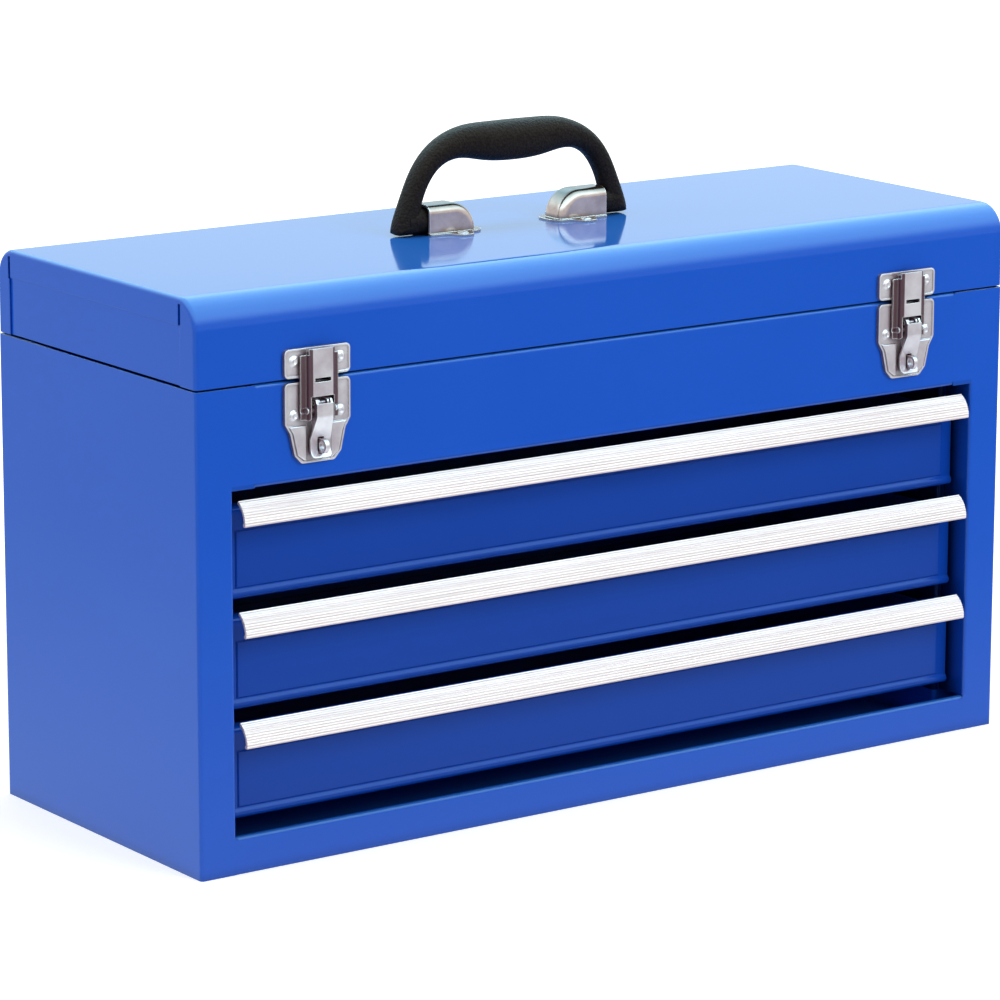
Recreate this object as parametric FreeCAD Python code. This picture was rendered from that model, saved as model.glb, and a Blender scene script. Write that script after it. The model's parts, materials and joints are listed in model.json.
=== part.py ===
import FreeCAD, Part
import math
import os
from FreeCAD import Vector

os.makedirs("parts", exist_ok=True)

# Portable steel tool box: three drawers under a lidded top compartment.
# Millimetres. X to the right, Y to the back, Z up. The origin is the centre of
# the footprint of the painted case, on the surface that the box stands on.

# Driving dimensions of the box
case_width = 510.0
case_depth = 190.0
parting_height = 244.0
parting_gap = 0.8
lid_height = 43.7
sheet = 1.0
bend_radius = 1.8
edge_bend = 2.0
clearance = 0.3
overrun = 5.0
round_share = 0.98
hair = 0.001

# Front opening and the sheets around it
stile_width = 20.6
opening_bottom = 18.9
fascia_height = 50.8
stile_return_depth = 20.0
fascia_seam_inset = 33.0
fascia_bottom_flange = 18.0
fascia_top_flange = 12.0
seam_gap = 0.15
rail_shelf_depth = 5.0
rail_drop = 7.0
rear_return = 14.0
joggle_overlap = 2.5
floor_upstand = 10.0
floor_bend = 1.5
back_hem = 8.0

# Inner walls that carry the drawer slides
slide_wall_inset = 23.0
slide_wall_front_gap = 2.0
slide_wall_rear_gap = 3.0

# Drawer slides, a channel on the case and a flat hat rail on the drawer
slide_margin = 7.0
slide_depth = 5.0
slide_metal = 1.0
slide_lip_share = 0.1154
slide_front_gap = 5.0
slide_rear_gap = 14.0
slide_bend = 1.6
hat_joggle = 1.6

# Drawers
drawer_count = 3
drawer_names = ["top", "middle", "bottom"]
drawer_bottom_gap = 5.5
drawer_top_gap = 11.2
drawer_spacing = 9.2
drawer_bend = 2.5
drawer_side_gap = 2.0
drawer_recess = 13.0
drawer_flare_reach = 4.0
drawer_flare_height = 5.0
drawer_flange = 8.0
drawer_return = 9.0
emboss_border = 6.8
emboss_bottom = 5.6
emboss_top = 12.0
emboss_height = 0.8
emboss_slope = 0.64
pan_rear_gap = 12.0
pan_drop = 6.9
pan_lift = 4.2
pan_corner = 2.5
pan_hem = 4.5

# Drawer pull, a curved aluminium section
pull_metal = 1.2
pull_radius = 12.7
pull_height = 11.0
pull_end_inset = 2.2
pull_web_inset = 12.0
pull_top_rise = 5.2
pull_stand_off = 3.9
pull_bead_radius = 1.0
pull_web_drop = 8.2
pull_flange_height = 7.0
pull_rib_count = 5
pull_rib_radius = 0.25

# Lid
lid_front_radius = 16.0
lid_rear_radius = 14.0
lid_edge_radius = 2.4
lid_side_flange = 14.0
lid_front_return = 14.2
lid_rear_return = 12.0
relief_width = 2.2
relief_top = 3.4
lid_hem = 5.5

# Piano hinge along the back
hinge_inset = 35.0
hinge_knuckles = 11
hinge_knuckle_radius = 2.6
hinge_bore_radius = 1.25
hinge_pin_radius = 1.2
hinge_leaf = 1.0
hinge_leaf_height = 17.0
hinge_knuckle_gap = 0.4
hinge_drop = 0.4
hinge_pin_head = 1.5

# Carrying handle, an arch whose round section changes along its run. Each row
# of the table is a place on the right half of the arch and the section there, as
# shares of the handle's reach, height, grip thickness and grip depth.
handle_reach = 73.8
handle_height = 55.2
handle_grip_thickness = 21.2
handle_grip_depth = 18.8
handle_set_back = 4.0
handle_axis_height = 7.4
handle_foot_radius = 7.1
handle_foot_corner = 4.0
handle_rows = [(0.0, 0.804, 1.0, 1.0), (0.23, 0.813, 0.943, 0.979), (0.413, 0.824, 0.792, 0.915),
               (0.56, 0.783, 0.642, 0.83), (0.678, 0.692, 0.547, 0.745), (0.772, 0.547, 0.509, 0.681),
               (0.843, 0.353, 0.519, 0.649), (0.889, 0.163, 0.604, 0.67), (0.911, -0.02, 0.623, 0.691)]
section_points = 16
section_fullness = 0.86
stub_radius = 6.7
stub_grip = 15.5

# Handle brackets
cup_gap = 4.1
cup_length = 30.0
cup_height = 15.7
cup_inner_radius = 7.1
cup_metal = 1.2
cup_nose_radius = 14.4
cup_edge_radius = 4.6
cup_flange_metal = 1.0
cup_flange_width = 37.0
cup_flange_length = 15.0
cup_flange_margin = 2.2
cup_flange_corner = 4.0
cup_rivet_reach = 13.6

# Draw latches
latch_inset = 68.4
plate_metal = 1.5
plate_half_width = 19.0
plate_corner = 2.5
keeper_low = 1.2
keeper_top = 15.6
keeper_rim = 0.6
rim_width = 1.0
tongue_half_width = 6.0
tongue_low = 2.0
tongue_top = 14.0
base_top = 1.0
base_wide_end = 21.2
base_neck = 26.2
base_neck_half_width = 16.0
base_low_shoulder = 37.2
base_low_half_width = 13.5
base_bottom = 41.5
base_bottom_half_width = 9.5
base_wing_inner = 6.9
base_wing_top = 22.5
base_wing_rim_gap = 0.4
base_wing_rise = 1.1
base_wing_edge = 0.8
strap_half_width = 7.7
strap_metal = 1.2
strap_front = 7.0
strap_bend = 2.2
strap_lip_half_width = 10.9
strap_top = 15.6
strap_leg_top = 12.6
strap_leg_bottom = 20.1
strap_web_bottom = 8.1
strap_slit_height = 2.0
strap_slit_half_width = 4.6
lever_pivot_out = 5.2
lever_pivot_drop = 11.5
strap_pivot_drop = 15.1
lever_half_width = 4.7
lever_metal = 1.1
lever_web_gap = 2.5
lever_bend = 5.0
lever_tip_half_width = 5.8
lever_tip_corner = 2.0
lever_knee = 18.0
lever_flat_top = 30.0
lever_flat_end = 35.0
lever_flat_out = 3.7
lever_tip_drop = 38.8
lever_tip_out = 6.0
lever_leg_end = 26.0
lever_leg_radius = 2.1
pivot_pin_radius = 1.0
pivot_running_gap = 0.05
pivot_head_radius = 1.6
pivot_head_height = 0.5
base_ear_metal = 1.2
base_ear_radius = 2.2
staple_metal = 2.4
staple_hole_radius = 2.2
staple_wall = 1.4
staple_drop = 32.8
staple_hole_out = 7.2
lever_slot_gap = 0.6
rivet_head_radius = 3.0
rivet_head_height = 1.2
rivet_dish_radius = 1.6
rivet_dish_depth = 0.6
rivet_shank_radius = 1.4
rivet_tail_radius = 2.1
rivet_grip = 1.2
latch_rivet_reach = 13.4
keeper_rivet_height = 9.4
base_rivet_drop = 17.4

# Worked-out places
half_width = case_width / 2
front = -case_depth / 2
back = case_depth / 2
lid_bottom = parting_height + parting_gap
lid_top = lid_bottom + lid_height
opening_top = parting_height - fascia_height
drawer_gaps = drawer_bottom_gap + drawer_top_gap + (drawer_count - 1) * drawer_spacing
drawer_front_height = (opening_top - opening_bottom - drawer_gaps) / drawer_count
drawer_pitch = drawer_front_height + drawer_spacing
pan_height = drawer_front_height - pan_drop
slide_height = pan_height - 2 * slide_margin
slide_lip = slide_height * slide_lip_share
opening_half = half_width - stile_width
slide_wall_face = half_width - slide_wall_inset
pan_half = slide_wall_face - slide_depth
drawer_half = opening_half - drawer_side_gap
drawer_face = front + drawer_recess
pan_depth = back - 2 * sheet - pan_rear_gap - drawer_face - sheet
slide_start = drawer_face + drawer_return + slide_front_gap
slide_length = back - slide_rear_gap - slide_start
pull_front = front - pull_stand_off
hinge_length = case_width - 2 * hinge_inset
latch_place = half_width - latch_inset
hinge_y = back + hinge_knuckle_radius + hinge_drop
hinge_z = parting_height + parting_gap / 2
handle_axis_z = lid_top + handle_axis_height
base_ear_inner = lever_half_width - lever_metal - clearance - base_ear_metal
strap_back = plate_metal + keeper_rim + clearance
strap_pivot_out = (strap_front + strap_back) / 2
cup_outer_end = handle_reach * (2 * handle_rows[-1][0] - 1) - cup_gap
cup_inner_end = cup_outer_end - cup_length


def save(shape, name):
    shape.exportStep("parts/" + name + ".step")
    print(name, len(shape.Solids), round(shape.Volume))


def plan(level):
    return lambda u, v: Vector(u, v, level)


def side(place):
    return lambda u, v: Vector(place, u, v)


def elevation(place):
    return lambda u, v: Vector(u, place, v)


def unit(a, b):
    length = math.hypot(b[0] - a[0], b[1] - a[1])
    return ((b[0] - a[0]) / length, (b[1] - a[1]) / length)


def block(x0, x1, y0, y1, z0, z1):
    low = Vector(min(x0, x1), min(y0, y1), min(z0, z1))
    return Part.makeBox(abs(x1 - x0), abs(y1 - y0), abs(z1 - z0), low)


def tube_along_x(radius, x0, x1, y, z):
    return Part.makeCylinder(radius, x1 - x0, Vector(x0, y, z), Vector(1, 0, 0))


# A corner of an outline turned on a radius: its first, middle and last point,
# shifted sideways by a distance to the left of the way that the line runs.
def turned_corner(before, corner, after, radius, shift):
    come = unit(before, corner)
    leave = unit(corner, after)
    cross = come[0] * leave[1] - come[1] * leave[0]
    turn = math.atan2(cross, come[0] * leave[0] + come[1] * leave[1])
    way = 1 if turn > 0 else -1
    reach = radius * math.tan(abs(turn) / 2)
    start = (corner[0] - come[0] * reach, corner[1] - come[1] * reach)
    centre = (start[0] - come[1] * way * radius, start[1] + come[0] * way * radius)
    spread = radius - way * shift
    out = unit(centre, corner)
    first = (start[0] - come[1] * shift, start[1] + come[0] * shift)
    middle = (centre[0] + out[0] * spread, centre[1] + out[1] * spread)
    last = (corner[0] + leave[0] * reach - leave[1] * shift,
            corner[1] + leave[1] * reach + leave[0] * shift)
    return first, middle, last


# A closed outline with every corner rounded by the radius listed beside it.
def rounded_face(points, radii, place):
    count = len(points)
    stretches = []
    for i in range(count):
        if radii[i] > 0:
            stretches.append(turned_corner(points[i - 1], points[i], points[(i + 1) % count],
                                           radii[i], 0))
        else:
            stretches.append((points[i],))
    return outline_face(stretches, place)


def outline_face(stretches, place):
    edges = []
    count = len(stretches)
    for i in range(count):
        stretch = stretches[i]
        if len(stretch) == 3:
            edges.append(Part.Arc(*[place(*p) for p in stretch]).toShape())
        pen = stretch[-1]
        reach = stretches[(i + 1) % count][0]
        if math.hypot(reach[0] - pen[0], reach[1] - pen[1]) > hair:
            edges.append(Part.LineSegment(place(*pen), place(*reach)).toShape())
    return Part.Face(Part.Wire(edges))


# The section of a bent sheet. The line is one face of the sheet; the metal lies
# to its left when the thickness is positive, and every bend has the outer radius.
def sheet_face(line, thickness, bend, place):
    sides = []
    for shift in (0, thickness):
        run = []
        for i in range(1, len(line) - 1):
            come = unit(line[i - 1], line[i])
            leave = unit(line[i], line[i + 1])
            cross = come[0] * leave[1] - come[1] * leave[0]
            towards = cross * thickness > 0
            radius = bend if towards else bend - abs(thickness)
            run.append(turned_corner(line[i - 1], line[i], line[i + 1], radius, shift))
        sides.append(run)
    start = unit(line[0], line[1])
    end = unit(line[-2], line[-1])
    near = [(line[0],)] + sides[0] + [(line[-1],)]
    far_end = (line[-1][0] - end[1] * thickness, line[-1][1] + end[0] * thickness)
    far_start = (line[0][0] - start[1] * thickness, line[0][1] + start[0] * thickness)
    back_run = [tuple(reversed(arc)) for arc in reversed(sides[1])]
    return outline_face(near + [(far_end,)] + back_run + [(far_start,)], place)


def mirrored(shape):
    return shape.mirror(Vector(0, 0, 0), Vector(1, 0, 0))


def fused(shapes):
    result = shapes[0].fuse(shapes[1:]) if len(shapes) > 1 else shapes[0]
    return result.removeSplitter()


def group(shapes):
    return Part.makeCompound(shapes)


# Case

def side_panel():
    def wrapped(line, low, high):
        face = sheet_face(line, -sheet, bend_radius, plan(low))
        return face.extrude(Vector(0, 0, high - low))

    rear = [(-half_width, back), (-half_width + rear_return, back)]
    stile = [(-opening_half, front + stile_return_depth), (-opening_half, front), (-half_width, front)]
    foot = [(-opening_half, front), (-half_width, front)]
    head = [(-half_width + fascia_seam_inset, front), (-half_width, front)]
    top_edge = parting_height - seam_gap
    shell = [wrapped(foot + rear, 0, opening_bottom),
             wrapped(stile + rear, opening_bottom, opening_top),
             wrapped(head + rear, opening_top, top_edge)]
    return fused(shell)


def back_panel():
    field = half_width - rear_return - seam_gap
    top = parting_height - seam_gap
    middle = block(-field, field, back - sheet, back, 0, top)
    inner = half_width - bend_radius
    wings = [block(-inner, -field + joggle_overlap, back - 2 * sheet, back - sheet, 0, top),
             block(field - joggle_overlap, inner, back - 2 * sheet, back - sheet, 0, top)]
    hem = block(-field, field, back - 2 * sheet, back - sheet, top - back_hem, top)
    return fused([middle, hem] + wings)


def floor_tray(level, upstand, rear_face):
    low = Vector(-half_width + sheet, front + sheet, level)
    width = case_width - 2 * sheet
    depth = rear_face - front - sheet
    outer = Part.makeBox(width, depth, sheet + upstand, low)
    outer = outer.makeFillet(bend_radius, upright_edges(outer))
    sole = [e for e in outer.Edges if e.BoundBox.ZMax < level + sheet / 10]
    outer = outer.makeFillet(floor_bend, sole)
    hollow = Part.makeBox(width - 2 * sheet, depth - 2 * sheet, upstand + overrun,
                          low + Vector(sheet, sheet, sheet))
    hollow = hollow.makeFillet(bend_radius - sheet, upright_edges(hollow))
    return outer.cut(hollow)


def upright_edges(shape):
    return [e for e in shape.Edges if is_upright(e)]


def is_upright(edge):
    ends = [v.Point for v in edge.Vertexes]
    if len(ends) != 2:
        return False
    flat = math.hypot(ends[0].x - ends[1].x, ends[0].y - ends[1].y)
    return flat < hair


def upper_front_panel():
    half = half_width - fascia_seam_inset - seam_gap
    line = [(front + fascia_top_flange, parting_height), (front, parting_height),
            (front, opening_top), (front + fascia_bottom_flange, opening_top)]
    face = sheet_face(line, sheet, edge_bend, side(-half))
    return face.extrude(Vector(2 * half, 0, 0))


def lower_front_rail():
    half = opening_half - seam_gap
    line = [(front + rail_shelf_depth, opening_bottom - rail_drop),
            (front + rail_shelf_depth, opening_bottom), (front, opening_bottom), (front, 0)]
    face = sheet_face(line, sheet, edge_bend, side(-half))
    return face.extrude(Vector(2 * half, 0, 0))


def slide_wall():
    start = front + stile_return_depth + slide_wall_front_gap
    end = back - 2 * sheet - slide_wall_rear_gap
    reach = half_width - 2 * sheet
    low = sheet
    line = [(-reach, start), (-slide_wall_face, start), (-slide_wall_face, end), (-reach, end)]
    face = sheet_face(line, sheet, bend_radius, plan(low))
    return face.extrude(Vector(0, 0, opening_top + sheet - low))


def drawer_bottom(index):
    return opening_bottom + drawer_bottom_gap + (drawer_count - 1 - index) * drawer_pitch


def slide_middle(index):
    return drawer_bottom(index) + pan_lift + pan_height / 2


def case_rail(index):
    outer = slide_wall_face
    inner = pan_half + clearance
    half = slide_height / 2
    line = [(-inner, half - slide_lip - slide_metal), (-inner, half), (-outer, half),
            (-outer, -half), (-inner, -half), (-inner, -half + slide_lip + slide_metal)]
    face = sheet_face(line, slide_metal, slide_bend, elevation(0))
    rail = face.extrude(Vector(0, slide_length, 0))
    rail.translate(Vector(0, slide_start, slide_middle(index)))
    return rail


def drawer_rail(index):
    web = pan_half
    wing = pan_half + slide_metal + hat_joggle
    half = slide_height / 2 - slide_metal - clearance
    neck = half - slide_lip - slide_metal
    outline = [(web, -neck), (web + slide_metal, -neck), (wing - slide_metal, -neck),
               (wing - slide_metal, -half), (wing, -half), (wing, -neck + slide_metal),
               (web + slide_metal, -neck + slide_metal)]
    mirror_side = [(u, -v) for u, v in reversed(outline)]
    points = [(-u, v) for u, v in outline + mirror_side]
    face = Part.Face(Part.makePolygon([Vector(u, 0, v) for u, v in points + points[:1]]))
    rail = face.extrude(Vector(0, slide_length, 0))
    rail.translate(Vector(0, slide_start, slide_middle(index)))
    return rail.removeSplitter()


# Drawers

def drawer_pan(index):
    start = drawer_face + sheet
    low = Vector(-pan_half, start, drawer_bottom(index) + pan_lift)
    outer = Part.makeBox(2 * pan_half, pan_depth, pan_height, low)
    outer = outer.makeFillet(pan_corner, upright_edges(outer))
    hollow = Part.makeBox(2 * (pan_half - sheet), pan_depth - 2 * sheet, pan_height,
                          low + Vector(sheet, sheet, sheet))
    hollow = hollow.makeFillet(pan_corner - sheet, upright_edges(hollow))
    mouth_low = low + Vector(2 * sheet, 2 * sheet, pan_height - pan_hem)
    mouth = Part.makeBox(2 * (pan_half - 2 * sheet), pan_depth - 4 * sheet, pan_hem + overrun, mouth_low)
    shell_hollow = hollow.cut(block(-half_width, half_width, front, back,
                                    low.z + pan_height - pan_hem, low.z + 2 * pan_height))
    return outer.cut(shell_hollow.fuse(mouth))


def drawer_front(index):
    low = drawer_bottom(index)
    top = low + drawer_front_height
    face_y = drawer_face
    lip = face_y - drawer_flare_reach
    line = [(face_y + drawer_flange, top), (face_y, top), (face_y, low + drawer_flare_height),
            (lip, low), (face_y + drawer_flange, low)]
    section = sheet_face(line, sheet, drawer_bend, side(-drawer_half))
    skin = section.extrude(Vector(2 * drawer_half, 0, 0))
    returns = []
    for way in (-1, 1):
        returns.append(block(way * (drawer_half - sheet), way * drawer_half, face_y + sheet / 2,
                             face_y + drawer_return, low + drawer_flare_height, top - sheet / 2))
    half = drawer_half - emboss_border
    panel = block(-half, half, face_y - emboss_height, face_y + sheet / 2, low + emboss_bottom,
                  top - emboss_top)
    rim = [e for e in panel.Edges if e.CenterOfMass.y < face_y - emboss_height + hair]
    panel = panel.makeChamfer(emboss_slope, rim)
    return fused([skin, panel] + returns)


def drawer_pull(index):
    top = drawer_bottom(index) + drawer_front_height + pull_top_rise
    low = top - pull_height
    centre_y = pull_front + pull_radius
    angle = math.asin(pull_height / pull_radius)
    inner = pull_radius - pull_metal

    def on_arc(radius, turn):
        return (centre_y - radius * math.cos(turn), low + radius * math.sin(turn))

    half = drawer_half - pull_end_inset
    outer_arc = tuple(on_arc(pull_radius, turn) for turn in (0, angle / 2, angle))
    inner_arc = tuple(on_arc(inner, turn) for turn in (angle, angle / 2, 0))
    curved = outline_face([outer_arc, inner_arc], side(-half))
    curved = curved.extrude(Vector(2 * half, 0, 0))
    bead = tube_along_x(pull_bead_radius, -half, half, pull_front + pull_bead_radius, low)
    web_top = top - pull_web_drop
    web_start = centre_y - math.sqrt(inner ** 2 - (web_top - low) ** 2) - pull_metal / 2
    web_half = drawer_half - pull_web_inset
    web = block(-web_half, web_half, web_start, drawer_face, web_top - pull_metal, web_top)
    flange = block(-web_half, web_half, drawer_face - pull_metal, drawer_face,
                   web_top - pull_flange_height, web_top)
    ribs = []
    for rib in range(pull_rib_count):
        turn = angle * (rib + 1) / (pull_rib_count + 1)
        y, z = on_arc(pull_radius, turn)
        ribs.append(tube_along_x(pull_rib_radius, -half, half, y, z))
    return fused([curved, bead, web, flange] + ribs)


# Lid

def lid_profile(inset, low):
    points = [(front + inset, low), (back - inset, low), (back - inset, lid_top - inset),
              (front + inset, lid_top - inset)]
    return rounded_face(points, [0, 0, lid_rear_radius - inset, lid_front_radius - inset],
                        side(-half_width + inset))


def lid_solid(inset, low):
    return lid_profile(inset, low).extrude(Vector(case_width - 2 * inset, 0, 0))


def lid_skin():
    outer = lid_solid(0, lid_bottom)
    rims = []
    for edge in outer.Edges:
        spread = edge.BoundBox
        at_end = abs(abs(edge.CenterOfMass.x) - half_width) < sheet / 10
        if at_end and spread.ZMax > lid_bottom + sheet / 10:
            rims.append(edge)
    outer = outer.makeFillet(lid_edge_radius, rims)
    shell = outer.cut(lid_solid(sheet, lid_bottom - overrun))
    window_front = front + lid_front_return
    window_back = back - lid_rear_return
    window_top = lid_top - lid_side_flange
    cutters = []
    for way in (-1, 1):
        x0 = way * (half_width - sheet)
        x1 = way * (half_width + overrun)
        cutters.append(block(x0, x1, window_front, window_back, lid_bottom - overrun, window_top))
        for edge_y in (window_front, window_back):
            cutters.append(block(x0, x1, edge_y - relief_width / 2, edge_y + relief_width / 2,
                                 window_top - sheet, lid_top - relief_top))
    hem = block(-half_width + lid_edge_radius + sheet, half_width - lid_edge_radius - sheet,
                front + sheet, front + 2 * sheet, lid_bottom, lid_bottom + lid_hem)
    return fused([shell.cut(Part.makeCompound(cutters)), hem])


def lid_end():
    plate = lid_profile(sheet, lid_bottom).extrude(Vector(sheet, 0, 0))
    foot = block(-half_width + sheet, -half_width + lid_hem, front + lid_front_return,
                 back - lid_rear_return, lid_bottom, lid_bottom + sheet)
    return fused([plate, foot])


# Piano hinge

def hinge_span(index):
    pitch = hinge_length / hinge_knuckles
    start = -hinge_length / 2 + index * pitch
    return start + hinge_knuckle_gap / 2, start + pitch - hinge_knuckle_gap / 2


def hinge_leaf_shape(way, knuckle_set):
    standoff = hinge_knuckle_radius + hinge_drop + clearance
    z0 = hinge_z + way * standoff
    z1 = hinge_z + way * hinge_leaf_height
    pieces = [block(-hinge_length / 2, hinge_length / 2, back, back + hinge_leaf, z0, z1)]
    for index in knuckle_set:
        x0, x1 = hinge_span(index)
        pieces.append(block(x0, x1, back, back + hinge_leaf, hinge_z, z0 + way * sheet))
        pieces.append(tube_along_x(hinge_knuckle_radius, x0, x1, hinge_y, hinge_z))
    bore = tube_along_x(hinge_bore_radius, -hinge_length, hinge_length, hinge_y, hinge_z)
    return fused(pieces).cut(bore)


def hinge_pin():
    half = hinge_length / 2
    shaft = tube_along_x(hinge_pin_radius, -half, half, hinge_y, hinge_z)
    heads = [tube_along_x(hinge_knuckle_radius, -half - hinge_pin_head, -half, hinge_y, hinge_z),
             tube_along_x(hinge_knuckle_radius, half, half + hinge_pin_head, hinge_y, hinge_z)]
    return fused([shaft] + heads)


# Handle and its brackets

def handle_stations():
    half = []
    for across, up, thickness, depth in handle_rows:
        half.append((across * handle_reach, lid_top + clearance + up * handle_height,
                     thickness * handle_grip_thickness / 2, depth * handle_grip_depth / 2))
    left = [(-x, z, thick, deep) for x, z, thick, deep in reversed(half[1:])]
    return left + half


# A closed round section that stands across the run of the arch.
def handle_section(station, leaning):
    x, z, thick, deep = station
    points = []
    for i in range(section_points):
        turn = 2 * math.pi * i / section_points
        along = math.copysign(abs(math.cos(turn)) ** section_fullness, math.cos(turn)) * thick
        across = math.copysign(abs(math.sin(turn)) ** section_fullness, math.sin(turn)) * deep
        points.append(Vector(x + along * leaning[0], across, z + along * leaning[1]))
    curve = Part.BSplineCurve()
    curve.interpolate(Points=points, PeriodicFlag=True)
    return Part.Wire(curve.toShape())


def handle_bow():
    stations = handle_stations()
    last = len(stations) - 1
    sections = []
    for i, station in enumerate(stations):
        run = unit(stations[max(i - 1, 0)], stations[min(i + 1, last)])
        leaning = (-run[1], run[0])
        if i in (0, last):
            leaning = (-1 if i == 0 else 1, 0)
        sections.append(handle_section(station, leaning))
    return Part.makeLoft(sections, True, False)


def handle_grip():
    bow = handle_bow().common(handle_side_profile()).common(handle_front_profile())
    stubs = []
    for way in (-1, 1):
        start = way * handle_reach * handle_rows[-1][0]
        end = way * (cup_outer_end - stub_grip)
        stubs.append(tube_along_x(stub_radius, min(start, end), max(start, end), 0, handle_axis_z))
    return fused([bow] + stubs)


# What the feet may fill when the handle lies over to either side
def handle_side_profile():
    half = handle_grip_depth
    flare = handle_axis_z + half
    crown = lid_top + 2 * handle_height
    foot = handle_foot_radius
    bottom = handle_axis_z - foot
    points = [(-foot, bottom), (foot, bottom), (foot, handle_axis_z), (half, flare), (half, crown),
              (-half, crown), (-half, flare), (-foot, handle_axis_z)]
    corner = foot * round_share
    radii = [corner, corner, 0, 0, 0, 0, 0, 0]
    face = rounded_face(points, radii, side(-handle_reach - overrun))
    return face.extrude(Vector(2 * (handle_reach + overrun), 0, 0))


def handle_front_profile():
    bottom = handle_axis_z - handle_foot_radius
    crown = lid_top + 2 * handle_height
    points = [(-handle_reach, bottom), (handle_reach, bottom), (handle_reach, crown),
              (-handle_reach, crown)]
    radii = [handle_foot_corner, handle_foot_corner, 0, 0]
    face = rounded_face(points, radii, elevation(-handle_grip_depth))
    return face.extrude(Vector(0, 2 * handle_grip_depth, 0))


def cup_dome(shrink):
    radius = cup_inner_radius + cup_metal - shrink
    top = cup_height - shrink
    start = -cup_outer_end
    length = cup_length - shrink
    dome = Part.makeBox(length, 2 * radius, top, Vector(start, -radius, lid_top))
    nose = []
    for edge in dome.Edges:
        middle = edge.CenterOfMass
        if abs(middle.x - start - length) < hair and abs(middle.z - lid_top - top) < hair:
            nose.append(edge)
    dome = dome.makeFillet(cup_nose_radius - shrink, nose)
    rim = []
    for edge in dome.Edges:
        middle = edge.CenterOfMass
        raised = middle.z > lid_top + hair and middle.x > start + hair
        if raised and abs(abs(middle.y) - radius) < hair:
            rim.append(edge)
    return dome.makeFillet(cup_edge_radius - shrink, rim)


def handle_cup():
    half = cup_flange_width / 2
    start = -cup_outer_end
    end = -cup_inner_end + 2 * cup_flange_margin
    ear = cup_flange_length / 2
    middle = (start + end) / 2
    body = cup_inner_radius + cup_metal + cup_flange_margin
    points = [(start, -body), (middle - ear, -body), (middle - ear / 2, -half), (middle + ear / 2, -half),
              (middle + ear, -body), (end, -body), (end, body), (middle + ear, body),
              (middle + ear / 2, half), (middle - ear / 2, half), (middle - ear, body), (start, body)]
    ear_corner = cup_flange_corner / 2
    radii = [cup_flange_margin, cup_flange_corner, ear_corner, ear_corner, cup_flange_corner,
             2 * cup_flange_corner]
    flange = rounded_face(points, radii + list(reversed(radii)), plan(lid_top))
    flange = flange.extrude(Vector(0, 0, cup_flange_metal))
    hollow = cup_dome(cup_metal)
    mouth = block(start - overrun, start + overrun, -cup_inner_radius, cup_inner_radius,
                  lid_top - overrun, lid_top + 2 * cup_metal)
    return fused([flange, cup_dome(0)]).cut(hollow).cut(mouth)


def rivet(length):
    ball = (rivet_head_radius ** 2 + rivet_head_height ** 2) / (2 * rivet_head_height)
    cap = Part.makeSphere(ball, Vector(0, 0, rivet_head_height - ball))
    keep = Part.makeBox(2 * ball, 2 * ball, ball, Vector(-ball, -ball, 0))
    head = cap.common(keep)
    dish = (rivet_dish_radius ** 2 + rivet_dish_depth ** 2) / (2 * rivet_dish_depth)
    head = head.cut(Part.makeSphere(dish, Vector(0, 0, rivet_head_height + dish - rivet_dish_depth)))
    shank = Part.makeCylinder(rivet_shank_radius, length, Vector(0, 0, -length))
    tail = Part.makeCylinder(rivet_tail_radius, rivet_grip, Vector(0, 0, -length - rivet_grip))
    return fused([head, shank, tail])


# Latches, drawn about their own middle on the front of the case. The outward
# distance runs from the front of the case, the height from the parting line.

def outward(distance):
    return front - distance


def height(rise):
    return parting_height + rise


def latch_box(x0, x1, out0, out1, rise0, rise1):
    return block(x0, x1, outward(out0), outward(out1), height(rise0), height(rise1))


def latch_side_face(points, radii, x):
    return rounded_face([(outward(out), height(rise)) for out, rise in points], radii, side(x))


def plate_outline(points, radii, out0, out1):
    face = rounded_face([(u, height(rise)) for u, rise in points], radii, elevation(outward(out0)))
    return face.extrude(Vector(0, out0 - out1, 0))


def keeper_points(inset):
    half = plate_half_width - inset
    return [(-half, keeper_low + inset), (half, keeper_low + inset), (half, keeper_top - inset),
            (-half, keeper_top - inset)]


def keeper():
    radii = [plate_corner] * 4
    proud = plate_metal + keeper_rim
    raised = plate_outline(keeper_points(0), radii, 0, proud)
    field = plate_outline(keeper_points(rim_width), [plate_corner - rim_width] * 4,
                          plate_metal, proud + overrun)
    front_out = strap_front - strap_metal - clearance
    tongue = latch_box(-tongue_half_width, tongue_half_width, plate_metal / 2, front_out,
                       tongue_low, tongue_top)
    edges = [e for e in tongue.Edges if e.CenterOfMass.y < outward(front_out - sheet / 10)]
    tongue = tongue.makeFillet(strap_bend - strap_metal, edges)
    return fused([raised.cut(field), tongue])


def base_points(inset):
    rows = [(base_bottom_half_width, base_bottom), (base_low_half_width, base_low_shoulder),
            (base_neck_half_width, base_neck), (plate_half_width, base_wide_end),
            (plate_half_width, base_top)]
    right = []
    for half, drop in rows:
        low = drop - inset if drop == base_bottom else drop
        low = drop + inset if drop == base_top else low
        right.append((half - inset, -low))
    left = [(-u, v) for u, v in reversed(right)]
    return right + left


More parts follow.
